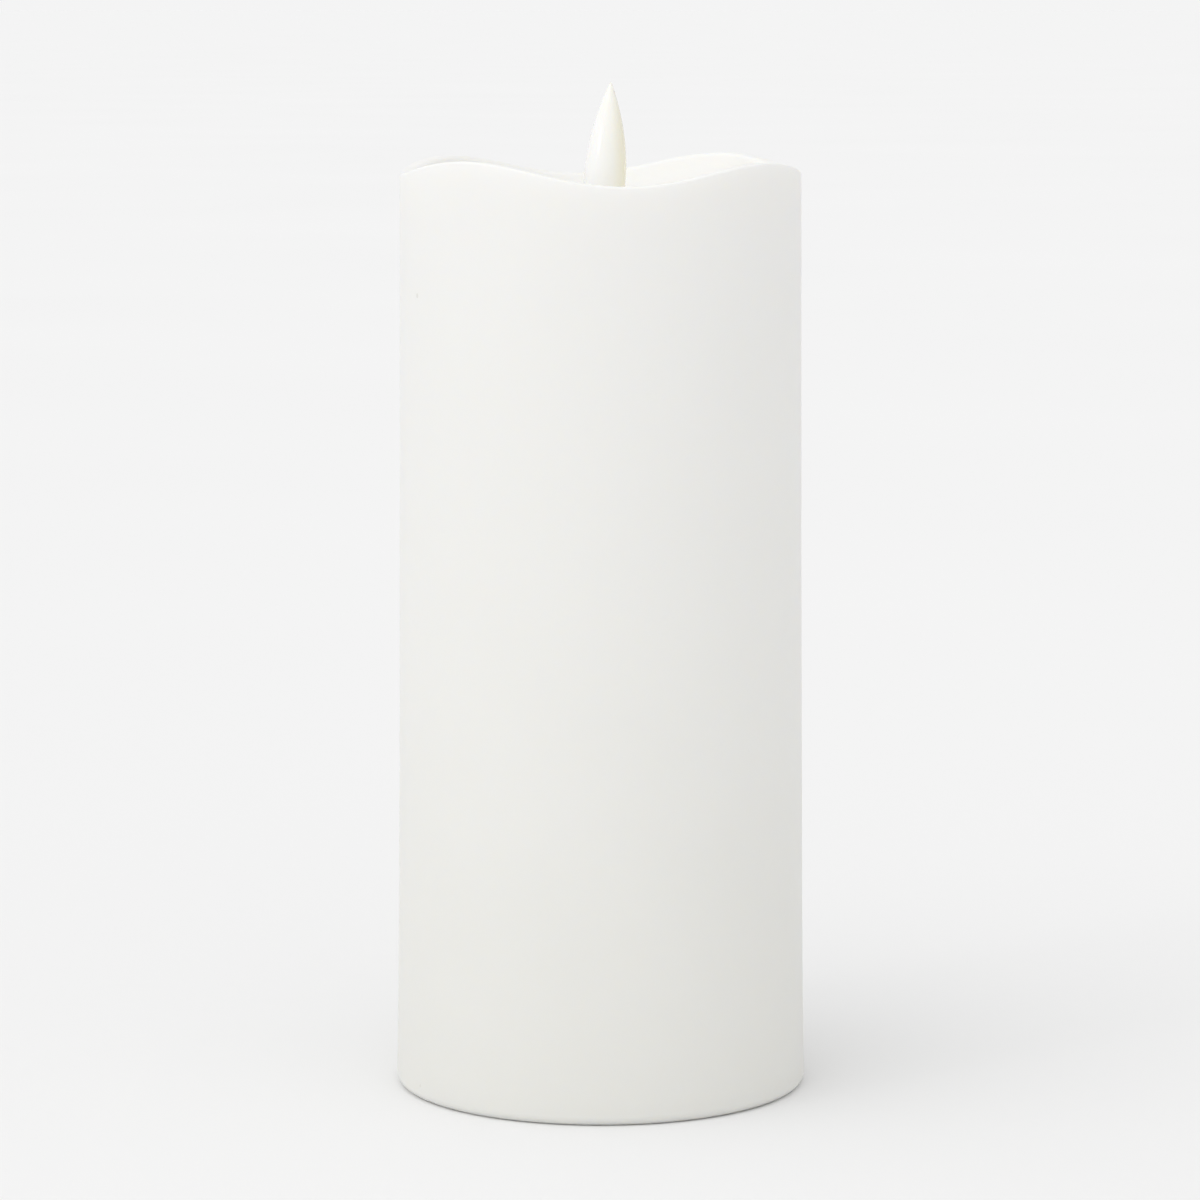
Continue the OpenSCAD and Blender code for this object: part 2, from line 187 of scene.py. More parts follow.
def ring_of_sections(sections):
    """A closed ring through a list of closed sections of equal length."""
    n, m = len(sections), len(sections[0])
    verts = [p for section in sections for p in section]
    faces = []
    for i in range(n):
        here, there = i * m, (i + 1) % n * m
        for j in range(m):
            j2 = (j + 1) % m
            faces.append((here + j, here + j2, there + j2, there + j))
    return verts, faces


def turned(profile, sides):
    """A surface of revolution of a (r, z) profile; r = 0 is a pole, and without poles it is closed."""
    verts, faces, rows = [], [], []
    for r, z in profile:
        count = 1 if r <= 0 else sides
        rows.append(list(range(len(verts), len(verts) + count)))
        verts += [(r * math.cos(TAU * k / sides), r * math.sin(TAU * k / sides), z) for k in range(count)]
    closed = len(rows[0]) > 1 and len(rows[-1]) > 1
    for u, v in zip(rows, rows[1:] + ([rows[0]] if closed else [])):
        for k in range(sides):
            k2 = (k + 1) % sides
            if len(u) == 1:
                faces.append((u[0], v[k2], v[k]))
            elif len(v) == 1:
                faces.append((u[k], u[k2], v[0]))
            else:
                faces.append((u[k], u[k2], v[k2], v[k]))
    return verts, faces


def smooth_path(points):
    """A Catmull-Rom path through the points, five steps between each two."""
    pts = [Vector(p) for p in points]
    out = []
    for i in range(len(pts) - 1):
        p0, p1 = pts[max(0, i - 1)], pts[i]
        p2, p3 = pts[i + 1], pts[min(len(pts) - 1, i + 2)]
        for t in (k / 5 for k in range(5)):
            square = (2 * p0 - 5 * p1 + 4 * p2 - p3) * t * t
            cube = (3 * p1 - p0 - 3 * p2 + p3) * t ** 3
            out.append(0.5 * (2 * p1 + (p2 - p0) * t + square + cube))
    out.append(pts[-1])
    return out


def sweep(path, radius, sides=12):
    """A round wire with chamfered ends along a path of Vectors."""
    last = len(path) - 1
    tangents = [(path[min(i + 1, last)] - path[max(i - 1, 0)]).normalized() for i in range(last + 1)]
    side = Vector((0.31, 0.83, 0.46)).cross(tangents[0]).normalized()
    chamfer = [(0.08, 0.8), (0.3, 1.0)]  # distance from the end and size, in radii of the wire
    verts, faces, rows = [], [], []
    for i, tangent in enumerate(tangents):
        side = (side - tangent * side.dot(tangent)).normalized()
        up = tangent.cross(side)
        rings = [(0.0, 1.0)]
        if i == 0:
            rings = chamfer
        elif i == last:
            rings = [(-inwards, size) for inwards, size in chamfer[::-1]]
        for shift, size in rings:
            centre, r = path[i] + tangent * shift * radius, radius * size
            rows.append(range(len(verts), len(verts) + sides))
            around = [TAU * k / sides for k in range(sides)]
            verts += [tuple(centre + r * (side * math.cos(a) + up * math.sin(a))) for a in around]
    for u, v in zip(rows, rows[1:]):
        for k in range(sides):
            k2 = (k + 1) % sides
            faces.append((u[k], u[k2], v[k2], v[k]))
    faces.append(tuple(rows[0][::-1]))
    faces.append(tuple(rows[-1]))
    return verts, faces


def slab(lo, hi, soft):
    """A block with its edges and corners chamfered by soft."""
    verts, faces, index = [], [], {}
    signs = (-1, 1)

    def corner(s, axis):
        """The vertex near corner s that lies on the face across the axis."""
        p = []
        for k in range(3):
            edge = hi[k] if s[k] > 0 else lo[k]
            p.append(round(edge if k == axis else edge - s[k] * soft, 5))
        key = tuple(p)
        if key not in index:
            index[key] = len(verts)
            verts.append(key)
        return index[key]

    def signs_at(axis, along, others, values):
        """A corner as three signs, from the one along the axis and the two across it."""
        s = [0, 0, 0]
        s[axis] = along
        s[others[0]], s[others[1]] = values
        return s

    loop = ((-1, -1), (1, -1), (1, 1), (-1, 1))
    for axis, others in enumerate(((1, 2), (2, 0), (0, 1))):
        for side in signs:
            faces.append(tuple(corner(signs_at(axis, side, others, v), axis) for v in loop))
        for values in ((a, b) for a in signs for b in signs):
            start, end = (signs_at(axis, side, others, values) for side in signs)
            u, v = others
            faces.append((corner(start, u), corner(start, v), corner(end, v), corner(end, u)))
    for s in ((x, y, z) for x in signs for y in signs for z in signs):
        faces.append(tuple(corner(s, axis) for axis in range(3)))
    return verts, faces


def bead(centre, r, h, axis=(0, 0, 1)):
    """A solder joint: a low cone with a rounded top, standing on its centre along the axis."""
    profile = [(0.0, 0.0), (r * 0.96, 0.0), (r, 0.05), (r * 0.86, h * 0.22), (r * 0.62, h * 0.5),
               (r * 0.42, h * 0.8), (r * 0.26, h * 0.96), (0.0, h)]
    turn = Vector(axis).to_track_quat("Z", "Y").to_matrix().to_4x4()
    return moved([turned(profile, 20)], Matrix.Translation(centre) @ turn)[0]


def spring(x, z, height, up=1):
    """A cone-shaped spring with closed turns at its ends, wide where it stands at height z."""
    wide, narrow = 4.6, 2.6
    turns, closed, per = 3.6, 0.8, 30
    seat = SPRING_WIRE + 0.02
    total = turns + 2 * closed
    path = []
    for t in (i / per for i in range(int(total * per) + 1)):
        risen = min(max(t - closed, 0.0), turns) / turns
        r = wide + (narrow - wide) * t / total
        rise = seat + (height - 2 * seat) * risen
        path.append(Vector((x + r * math.cos(TAU * t), DOOR_Y + r * math.sin(TAU * t), z + up * rise)))
    return sweep(path, SPRING_WIRE, 10)


def strip(path, mid, half, thick):
    """A flat lead bent in X and Y over the main board's face, 2 * half wide along Z."""
    verts, faces, last = [], [], len(path) - 1
    for i, (x, y) in enumerate(path):
        x0, y0 = path[max(0, i - 1)]
        x1, y1 = path[min(last, i + 1)]
        length = math.hypot(x1 - x0, y1 - y0)
        nx, ny = -(y1 - y0) / length * thick / 2, (x1 - x0) / length * thick / 2
        for s, z in ((1, -half), (1, half), (-1, half), (-1, -half)):
            verts.append((x + s * nx, BOARD_FACE + y + s * ny, mid + z))
    for i in range(last):
        for k in range(4):
            k2 = (k + 1) % 4
            faces.append((4 * i + k, 4 * i + k2, 4 * i + 4 + k2, 4 * i + 4 + k))
    faces.append((3, 2, 1, 0))
    faces.append(tuple(4 * last + k for k in range(4)))
    return verts, faces


# ---------------------------------------------------------------- materials
class Nodes:
    """A node tree with a few shorthands; a value may be a constant or another node's socket."""

    def __init__(self, tree):
        self.tree = tree

    def put(self, node, key, value):
        if isinstance(value, bpy.types.NodeSocket):
            self.tree.links.new(value, node.inputs[key])
        else:
            node.inputs[key].default_value = value

    def node(self, kind, inputs=None, **settings):
        n = self.tree.nodes.new(kind)
        for key, value in settings.items():
            setattr(n, key, value)
        for key, value in (inputs or {}).items():
            self.put(n, key, value)
        return n

    def coords(self):
        return self.node("ShaderNodeTexCoord").outputs["Object"]

    def parts_of(self, vector):
        return self.node("ShaderNodeSeparateXYZ", {0: vector}).outputs

    def noise(self, scale, detail=2.0, rough=0.5, vector=None):
        inputs = {"Scale": scale, "Detail": detail, "Roughness": rough, "Vector": vector or self.coords()}
        return self.node("ShaderNodeTexNoise", inputs).outputs["Fac"]

    def math(self, operation, a, b):
        return self.node("ShaderNodeMath", {0: a, 1: b}, operation=operation).outputs[0]

    def map_range(self, value, low, high):
        inputs = {"Value": value, "From Min": low, "From Max": high}
        return self.node("ShaderNodeMapRange", inputs).outputs["Result"]

    def mix(self, fac, a, b):
        return self.node("ShaderNodeMix", {0: fac, 6: a, 7: b}, data_type="RGBA").outputs[2]

    def ramp(self, fac, stops):
        """Places and colours of a ramp; a single number is a grey."""
        n = self.node("ShaderNodeValToRGB", {"Fac": fac})
        elements = n.color_ramp.elements
        while len(elements) < len(stops):
            elements.new(0.5)
        for element, (place, colour) in zip(elements, stops):
            element.position = place
            element.color = (*(colour if isinstance(colour, tuple) else (colour,) * 3), 1)
        return n.outputs["Color"]

    def between(self, fac, low, high):
        """Drifts from one colour or grey to another over the middle of a noise's range."""
        return self.ramp(fac, [(0.3, low), (0.7, high)])

    def bump(self, height, strength, distance):
        inputs = {"Height": height, "Strength": strength, "Distance": distance}
        return self.node("ShaderNodeBump", inputs).outputs["Normal"]


class Look(Nodes):
    """A Principled material."""

    def __init__(self, name):
        self.material = bpy.data.materials.new(name)
        self.material.use_nodes = True
        super().__init__(self.material.node_tree)

    def surface(self, **values):
        """Values of the shader's inputs, named with underscores; returns the material."""
        shader = self.tree.nodes["Principled BSDF"]
        for key, value in values.items():
            self.put(shader, key.replace("_", " "), value)
        return self.material


def wax_material():
    """Cast paraffin: milky, faintly cloudy, darker and warmer towards the foot by painted shade, with a few
    pinholes that painted shade darkens.
    """
    m = Look("wax_paraffin")
    # Painted shade: by height, the base colour grows darker and warmer towards the foot; the noise only adds
    # random cloudiness.
    up = m.math("DIVIDE", m.parts_of(m.coords())["Z"], FOOT_SHADE_TOP * MM)
    cloud = m.math("SUBTRACT", m.noise(34.0, 4.0, 0.55), 0.5)
    drift = m.math("ADD", up, m.math("MULTIPLY", cloud, 0.22))
    cloud_and_painted_shade = m.ramp(drift, [(0.0, (0.752, 0.749, 0.714)), (0.45, (0.808, 0.805, 0.779)),
                          (1.0, (0.846, 0.843, 0.826))])
    # Pinholes: their bump is real, but their darker base colour is painted shade inside the pits.
    cells = m.node("ShaderNodeTexVoronoi", {"Scale": 62.0, "Vector": m.coords()}, feature="F1")
    rare = m.math("GREATER_THAN", m.parts_of(cells.outputs["Color"])["X"], 0.86)
    pit = m.math("MULTIPLY", rare, m.math("LESS_THAN", cells.outputs["Distance"], 0.030))
    grain = m.bump(m.noise(900.0), 0.08, 0.0002)
    pitted = m.node("ShaderNodeBump", {"Height": m.math("SUBTRACT", 1.0, pit), "Strength": 0.6,
                                       "Distance": 0.0003, "Normal": grain})
    return m.surface(
        Base_Color=m.mix(m.math("MULTIPLY", pit, 0.4), cloud_and_painted_shade, (0.62, 0.60, 0.54, 1.0)),
        Roughness=m.between(m.noise(210.0, 3.0, 0.6), 0.38, 0.48),
        Normal=pitted.outputs["Normal"],
        IOR=1.44,
        Subsurface_Weight=0.4,
        Subsurface_Scale=0.004,
        Subsurface_Radius=(1.0, 0.9, 0.7),
    )


def flame_material():
    """Glossy ivory moulding, with painted shade that makes its +X side darker and warmer."""
    m = Look("flame_ivory")
    # Painted shade: the base colour turns darker and warmer from the lit -X side to the shaded +X side.
    unshaded_x, painted_shade_x = -3.5 * MM, 5.2 * MM
    across = m.map_range(m.parts_of(m.coords())["X"], unshaded_x, painted_shade_x)
    drift = m.math("ADD", across, m.math("MULTIPLY", m.noise(160.0), 0.04))
    return m.surface(
        Base_Color=m.ramp(drift, [(0.34, (0.925, 0.923, 0.908)), (0.68, (0.905, 0.895, 0.830)),
                                  (1.0, (0.860, 0.810, 0.600))]),
        Roughness=m.between(m.noise(320.0), 0.16, 0.24),
        Normal=m.bump(m.noise(500.0), 0.03, 0.0002),
        IOR=1.5,
        Subsurface_Weight=0.15,
        Subsurface_Scale=0.0004,
        Subsurface_Radius=(1.0, 0.8, 0.5),
        Coat_Weight=0.8,
        Coat_Roughness=0.05,
    )


def plastic(name, colour, rough, grain=1400.0, depth=0.12):
    """Moulded plastic with a fine spark-eroded texture and a little colour drift."""
    m = Look(name)
    low = tuple(c * 0.94 for c in colour)
    return m.surface(
        Base_Color=m.between(m.noise(60.0, 3.0), low, colour),
        Roughness=m.between(m.noise(grain * 0.5), rough * 0.9, rough * 1.12),
        Normal=m.bump(m.noise(grain, rough=0.6), depth, 0.0001),
    )


def metal(name, colour, rough, streak=(1.0, 1.0, 14.0)):
    """Plated metal with drawn or brushed streaks."""
    m = Look(name)
    stretched = m.node("ShaderNodeMapping", {"Scale": streak, "Vector": m.coords()}).outputs["Vector"]
    streaks = m.noise(900.0, 3.0, 0.6, stretched)
    low = tuple(c * 0.82 for c in colour)
    return m.surface(
        Base_Color=m.between(streaks, low, colour),
        Roughness=m.between(streaks, rough * 0.75, rough * 1.3),
        Normal=m.bump(streaks, 0.08, 0.00005),
        Metallic=1.0,
    )


def board_material():
    """Green solder mask over straight buried tracks."""
    m = Look("solder_mask")
    place = m.parts_of(m.coords())
    flat = m.node("ShaderNodeCombineXYZ", {"X": place["X"], "Y": m.math("ADD", place["Y"], place["Z"])})
    bricks = {"Vector": flat.outputs["Vector"], "Scale": 260.0, "Brick Width": 1.1, "Row Height": 0.42,
              "Mortar Size": 0.035, "Mortar Smooth": 0.3}
    tracks = m.node("ShaderNodeTexBrick", bricks, offset=0.37, squash=1.6, squash_frequency=3).outputs["Fac"]
    mask = m.between(m.noise(180.0, 3.0), (0.014, 0.105, 0.045), (0.018, 0.122, 0.054))
    return m.surface(
        Base_Color=m.mix(tracks, mask, (0.024, 0.158, 0.072, 1.0)),
        Roughness=m.between(m.noise(400.0), 0.28, 0.38),
        Normal=m.bump(tracks, 0.2, 0.00004),
        IOR=1.5,
    )


def copper_material():
    """Enamelled winding wire."""
    m = Look("enamelled_copper")
    fine = m.noise(1500.0)
    return m.surface(
        Base_Color=m.between(fine, (0.62, 0.24, 0.09), (0.78, 0.36, 0.16)),
        Roughness=m.between(fine, 0.22, 0.34),
        Metallic=1.0,
        Coat_Weight=0.6,
        Coat_Roughness=0.1,
    )


def jacket_material(z_minus, z_plus):
    """Printed film of a cell: dark green, with a copper band at its positive end."""
    m = Look("cell_jacket_" + str(int(z_minus)))
    band = m.map_range(m.parts_of(m.coords())["Z"], z_minus * MM, z_plus * MM)
    return m.surface(
        Base_Color=m.ramp(band, [(0.0, (0.030, 0.115, 0.060)), (0.55, (0.035, 0.13, 0.068)),
                                 (0.60, (0.60, 0.30, 0.12)), (1.0, (0.62, 0.31, 0.13))]),
        Roughness=m.between(m.noise(240.0, 4.0, 0.65), 0.22, 0.36),
        Normal=m.bump(m.noise(700.0), 0.03, 0.00005),
        Metallic=0.35,
    )


def lens_material():
    """Tinted epoxy of the LED."""
    m = Look("led_lens")
    tint = m.noise(300.0)
    return m.surface(
        Base_Color=m.between(tint, (0.90, 0.80, 0.52), (0.94, 0.86, 0.62)),
        Roughness=m.between(tint, 0.08, 0.14),
        IOR=1.5,
        Transmission_Weight=0.55,
    )


def floor_material():
    """Matt pale paper, barely mottled."""
    m = Look("studio_floor")
    return m.surface(
        Base_Color=m.between(m.noise(2.0), 0.846, 0.854),
        Roughness=1.0,
        Specular_IOR_Level=0.0,
    )


# ---------------------------------------------------------------- wax and flame
def wall_r(z):
    return RIM_R + DRAFT * (1 - z / RIM_Z) + FOOT_FLARE * math.exp(-z / FLARE_FADE)


def rim_height(a):
    wave = WAVE_AMP * math.cos(WAVE_COUNT * (a - WAVE_PHASE))
    return RIM_Z + wave + SWAY_AMP * math.cos(2 * (a - SWAY_PHASE))


def wax_profile(a):
    """Closed section of the wax at bearing a: foot, wall, rim, bowl, hole, roof, hollow."""
    top = rim_height(a)
    wall_top = top - RIM_OUT
    foot_r = wall_r(FOOT_ROUND) - FOOT_ROUND
    crown_out = wall_r(top) - RIM_OUT
    crown_in = crown_out - RIM_LAND
    edge_r, edge_z = crown_in - RIM_IN, top - RIM_IN
    wall_steps, bowl_steps = 60, 26
    pts = [(foot_r - 1.6, 0.0), (foot_r - 0.3, 0.0)]
    pts += arc(foot_r, FOOT_ROUND, FOOT_ROUND, -90, 0, 6)
    heights = [FOOT_ROUND + (wall_top - FOOT_ROUND) * i / wall_steps for i in range(1, wall_steps)]
    pts += [(wall_r(z), z) for z in heights]
    pts += arc(crown_out, wall_top, RIM_OUT, 0, 90, 8)
    pts += arc(crown_in, edge_z, RIM_IN, 90, 165, 7)
    for t in (i / bowl_steps for i in range(1, bowl_steps + 1)):
        pts.append((edge_r + (BOWL_R - edge_r) * t, FLOOR_Z + (edge_z - FLOOR_Z) * (1 - t) ** BOWL_POWER))
    pts += [(HOLE_R + 0.25, FLOOR_Z), (HOLE_R + 0.06, FLOOR_Z - 0.06), (HOLE_R, FLOOR_Z - 0.25)]
    pts += [(HOLE_R, FLOOR_Z - 4), (HOLE_R, ROOF_Z + 0.3), (HOLE_R + 0.3, ROOF_Z)]
    pts += [(20.0, ROOF_Z), (HOLLOW_R - 0.5, ROOF_Z), (HOLLOW_R, ROOF_Z - 0.5)]
    pts += [(HOLLOW_R, z) for z in (120.0, 90.0, 60.0, 30.0, 8.0, 0.4)]
    pts += [(HOLLOW_R + 0.1, 0.1), (HOLLOW_R + 0.4, 0.0)]
    return pts


def cast_unevenness(a, z):
    """How far the cast wax falls short of its mould at bearing a and height z; never negative."""
    p = Vector((math.cos(a), math.sin(a), z / 38.0))
    broad = noise.noise(p * 1.1 + Vector((3.1, 0.4, 7.7)))
    fine = noise.noise(p * 4.5 + Vector((9.0, 2.0, 1.0)))
    return 0.07 + 0.055 * broad + 0.015 * fine


def cast_point(a, r, z):
    """A point of the wax, drawn in where it is outside by the cast's unevenness, less so at the foot."""
    inside = r <= BOWL_R + 1 or (r <= HOLLOW_R + 0.5 and z <= ROOF_Z)
    foot, fade, least = 0.2, 6.0, 0.03
    if not inside and z > foot:
        t = min(1.0, (z - foot) / fade)
        short = least + (cast_unevenness(a, z) - least) * t * t * (3 - 2 * t)
        r -= short
        if z > RIM_Z - 6:
            z -= 0.6 * short
    return (r * math.cos(a), r * math.sin(a), z)


def make_wax():
    steps = 288
    bearings = [TAU * k / steps for k in range(steps)]
    sections = [[cast_point(a, r, z) for r, z in wax_profile(a)] for a in bearings]
    return joined("wax_body", [ring_of_sections(sections)])


def flame_section(r, tip, mouth_r, mouth, steps):
    """Half of the bullet from its mouth up: a swell, then a taper that stops one step short of the tip."""
    swell = [(mouth_r + (r - mouth_r) * math.sin(t), mouth + (SHOULDER - mouth) * (1 - math.cos(t)))
             for t in (math.pi / 2 * i / 12 for i in range(12))]
    taper = [(r * math.sin(math.pi / 2 * s ** 0.88), tip - (tip - SHOULDER) * s)
             for s in (1 - i / steps for i in range(steps))]
    return swell + taper


def make_flame():
    """The glossy bullet: one thin shell, open at its mouth, round its own leaning axis."""
    outer = flame_section(FLAME_R, FLAME_TIP, MOUTH_R, MOUTH, 40)
    inner = flame_section(FLAME_R - SKIN, FLAME_TIP - TIP_SKIN, MOUTH_R - SKIN, MOUTH + SKIN, 24)
    lip = [(MOUTH_R - SKIN, MOUTH), (MOUTH_R - 0.08, MOUTH)]
    profile = [(0.0, FLAME_TIP - TIP_SKIN)] + inner[::-1] + lip + outer + [(0.0, FLAME_TIP)]
    place = Matrix.Translation((0, 0, PIVOT_Z)) @ Matrix.Rotation(FLAME_LEAN, 4, "Y")
    return joined("flame_skin", moved([turned(profile, 64)], place))


# ---------------------------------------------------------------- movement
def make_pivot_wire():
    path = [Vector((0, PIVOT_WIRE_L * (i / 8 - 0.5), PIVOT_Z)) for i in range(9)]
    return joined("pivot_wire_pin", [sweep(path, PIVOT_WIRE_R, 16)])


def led_place():
    """Place of an LED drawn with its flange at the origin and its lens up."""
    swing = Matrix.Rotation(math.radians(LED_BEARING), 4, "Z")
    tilt = Matrix.Rotation(math.radians(-LED_TILT), 4, "Y")
    return swing @ Matrix.Translation((LED_OUT, 0, PIVOT_Z - LED_DROP)) @ tilt


def make_led():
    barrel, dome = 3.2, 1.45
    lens = [(0.0, 0.0), (1.44, 0.0), (1.5, 0.06), (1.5, 0.7), (1.44, 0.78), (LED_R, 0.9), (LED_R, barrel)]
    quarter = [math.pi / 2 * i / 8 for i in range(1, 8)]
    lens += [(LED_R * math.cos(t), barrel + dome * math.sin(t)) for t in quarter]
    lens.append((0.0, barrel + dome))
    return joined("led_dome", moved([turned(lens, 40)], led_place()))


def make_led_legs():
    legs = [slab((-0.2, y - 0.2, -3.5), (0.2, y + 0.2, -0.02), 0.05) for y in (-0.6, 0.6)]
    return joined("led_legs", moved(legs, led_place()))


def make_winding():
    """Enamelled wire wound in level turns between the bobbin's cheeks."""
    rows, wire_r, end = 20, 0.19, 0.02
    pitch = COIL_H / rows
    profile = [(COIL_CORE_R, end), (COIL_R, end)]
    for i in range(rows):
        swell = 0.34 * math.sin(math.pi * (i + 0.5) / rows) ** 0.5
        for t in (math.pi * (k / 5 - 0.5) for k in range(6)):
            z = 0.1 + pitch * (i + 0.5 + 0.5 * math.sin(t))
            profile.append((COIL_R + swell + wire_r * math.cos(t), z))
    top = COIL_H + 0.2 - end
    profile += [(COIL_R, top), (COIL_CORE_R, top)]
    # The two middle turns are equally full and meet in one point, which is kept once.
    profile = [p for p, before in zip(profile, [(0, 0)] + profile) if math.dist(p, before) > 1e-4]
    return joined("winding_turns", moved([turned(profile, 72)], Matrix.Translation((0, 0, COIL_FOOT))))


# ---------------------------------------------------------------- boards, cells and leads
def make_chips():
    bodies = []
    for x, z, w in CHIPS:
        bodies.append(slab((x, BOARD_FACE + 0.08, z), (x + w, BOARD_FACE + 1.5, z + CHIP_H), 0.22))
    return joined("chip_bodies", bodies)


def make_chip_legs():
    """Gull-wing leads, four a side."""
    bend = ((-0.15, 0.75), (0.25, 0.75), (0.42, 0.6), (0.5, 0.25), (0.62, 0.12), (0.88, 0.12))
    legs = []
    for x, z, w in CHIPS:
        for mid in (z + 0.85 + 1.3 * i for i in range(4)):
            for edge, side in ((x, -1), (x + w, 1)):
                path = [(edge + side * out, height) for out, height in bend]
                legs.append(strip(path, mid, 0.24, 0.12))
    return joined("chip_legs", legs)


def capacitor_place():
    """Place of a capacitor drawn standing on the origin."""
    return Matrix.Translation((-14, BOARD_FACE + 0.3, 20)) @ Matrix.Rotation(math.radians(-90), 4, "X")


def make_capacitor():
    """Sleeved can with a rolled groove at its foot."""
    can = [(0.0, 0.0), (2.7, 0.0), (2.9, 0.12), (3.0, 0.3), (3.0, 0.9), (2.92, 1.05), (2.74, 1.25),
           (2.92, 1.45), (3.0, 1.6), (3.0, 7.2), (2.95, 7.4), (2.8, 7.52), (2.45, 7.58), (2.3, 7.5),
           (2.25, 7.42), (0.0, 7.42)]
    return joined("capacitor_can", moved([turned(can, 48)], capacitor_place()))


def make_capacitor_top():
    """The bare lid with its three-way vent, and the two legs under the can."""
    parts = [turned([(0.0, 7.43), (2.2, 7.43), (2.24, 7.47), (2.1, 7.52), (0.0, 7.52)], 40)]
    for a in (0, 60, 120):
        arm = slab((-1.6, -0.07, 7.49), (1.6, 0.07, 7.55), 0.02)
        parts += moved([arm], Matrix.Rotation(math.radians(a), 4, "Z"))
    for x in (-1.2, 1.2):
        leg = turned([(0.0, -0.3), (0.3, -0.3), (0.3, 0.05), (0.0, 0.05)], 16)
        parts += moved([leg], Matrix.Translation((x, 0, 0)))
    return joined("capacitor_top", moved(parts, capacitor_place()))


def cell_ends(nub_up):
    """Heights of a cell's negative and positive ends, without its button."""
    if nub_up:
        return PLATE_Z + SPRING_H, PLATE_Z + SPRING_H + CELL_BODY
    return PLATE_Z + NUB_H + CELL_BODY, PLATE_Z + NUB_H


def cell_place(nub_up):
    """Place of a cell drawn with its negative end at the origin and its button up."""
    turn = Matrix.Rotation(0 if nub_up else math.pi, 4, "X")
    return Matrix.Translation((-CELL_X if nub_up else CELL_X, DOOR_Y, cell_ends(nub_up)[0])) @ turn


def make_cell_jacket(name, nub_up):
    """The shrunk film, rolled over both ends of the can."""
    r, h = CELL_R, CELL_BODY
    rolled = [(1.5, 0.12), (1.35, 0.03), (0.5, 0.0), (0.2, 0.1), (0.04, 0.32), (0.0, 0.6)]
    film = [(r - inwards, z) for inwards, z in rolled]
    film += [(r, h * i / 12) for i in range(1, 12)]
    film += [(r - inwards, h - z) for inwards, z in rolled[::-1]]
    film += [(r - 1.5, h - 0.4), (r - 0.9, h - 0.6), (r - 0.9, 0.6), (r - 1.5, 0.4)]
    return joined(name, moved([turned(film, 96)], cell_place(nub_up)))


def make_cell_ends(name, nub_up):
    """Bare can inside the film, with the raised button and the dished negative end."""
    r, h = CELL_R - 0.95, CELL_BODY
    minus = [(0.0, 0.28), (3.0, 0.28), (3.4, 0.12), (4.6, 0.1), (5.2, 0.26), (r - 0.35, 0.26), (r, 0.7)]
    plus = [(r, h - 0.7), (r - 0.3, h - 0.36), (4.4, h - 0.36), (3.9, h - 0.2), (NUB_R + 0.1, h - 0.16)]
    top = h + NUB_H
    button = [(NUB_R, h + 0.05), (NUB_R, top - 0.25), (NUB_R - 0.08, top - 0.08), (NUB_R - 0.25, top)]
    button.append((0.0, top))
    return joined(name, moved([turned(minus + plus + button, 64)], cell_place(nub_up)))


def cell_lead(side):
    """Route of a cell's lead from its contact's tab down to the main board."""
    r = ROOF_IN
    points = ((CELL_X, 7.7, r - 0.8), (CELL_X, 9, r - 1.2), (8, 10.6, r - 3), (8.6, 12, r - 6),
              (9, 12.5, r - 10), (9, 12.6, r - 13))
    return [(side * x, y, z) for x, y, z in points]


def riser(x):
    """Route of a lead from the main board up the core tube to the drive board."""
    r = ROOF_IN
    return [(x, 12.5, r - 12), (x, 12.3, r - 8), (x, 11, r - 5), (x, 8.6, r - 2), (x, 7.1, r - 0.2),
            (x, 6.8, r + 2.5), (x, 6.2, r + 8), (x, 5, r + 20), (x * 1.4, 4, r + 34),
            (x * 1.2, 4.4, r + 48), (x, 5, BOARD_UNDER - 0.05)]


def led_lead(a):
    """Route of a lead from the LED down past the coil to the drive board."""
    points = ((8.6, 135, -10.2), (8.6, 135, -13), (9.6, 132, -16), (10.8, 120, -20), (11, 112, -25),
              (11, 110, -31))
    route = [polar(r, bearing + a, PIVOT_Z + z) for r, bearing, z in points]
    return route + [polar(11, 110 + a, BOARD_TOP + 0.05)]


def make_leads(name, routes, r=LEAD_R):
    return joined(name, [sweep(smooth_path(route), r) for route in routes])


def make_joints():
    """Solder on the two boards, at the ends of the cells' leads, the risers and the LED's leads."""
    parts = [bead((x, BOARD_Y - 0.02, ROOF_IN - 13.2), 0.62, 0.6, (0, -1, 0)) for x in (-9, 9)]
    parts += [bead((x, BOARD_Y - 0.02, ROOF_IN - 12.2), 0.44, 0.6, (0, -1, 0)) for x in RISER_X]
    parts += [bead((x, 5, BOARD_UNDER - 0.02), 0.44, 0.6, (0, 0, -1)) for x in RISER_X]
    parts += [bead(polar(11, 110 + a, BOARD_TOP + 0.02), 0.6, 0.7) for a in (-4, 4)]
    return joined("solder_joints", parts)


# ---------------------------------------------------------------- build
def softened(node, width):
    """A copy of a CAD node's mesh with its edges rounded over that width."""
    me = bpy.data.meshes.new(node + "_soft")
    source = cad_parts[node]
    bm = bmesh.new()
    bm.from_mesh(source.data)
    bm.transform(source.matrix_world)
    bmesh.ops.remove_doubles(bm, verts=bm.verts, dist=2e-6)
    bmesh.ops.dissolve_limit(bm, angle_limit=math.radians(1.0), verts=bm.verts, edges=bm.edges)
    bm.to_mesh(me)
    bm.free()
    for p in me.polygons:
        p.use_smooth = True
    ob = bpy.data.objects.new(me.name, me)
    bpy.context.collection.objects.link(ob)
    bevel = ob.modifiers.new("edge", "BEVEL")
    bevel.width = width * MM
    bevel.segments = 2
    bevel.limit_method = "ANGLE"
    bevel.angle_limit = math.radians(28)
    bevel.harden_normals = True
    bevel.use_clamp_overlap = True
    return ob


def give(ob, material):
    ob.data.materials.clear()
    ob.data.materials.append(material)


def claim(ob, body, material, slot, *nodes):
    """Material, body and replaced nodes of a finished piece; the slot argument is not used."""
    give(ob, material)
    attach(ob, body)
    if nodes:
        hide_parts(*nodes)


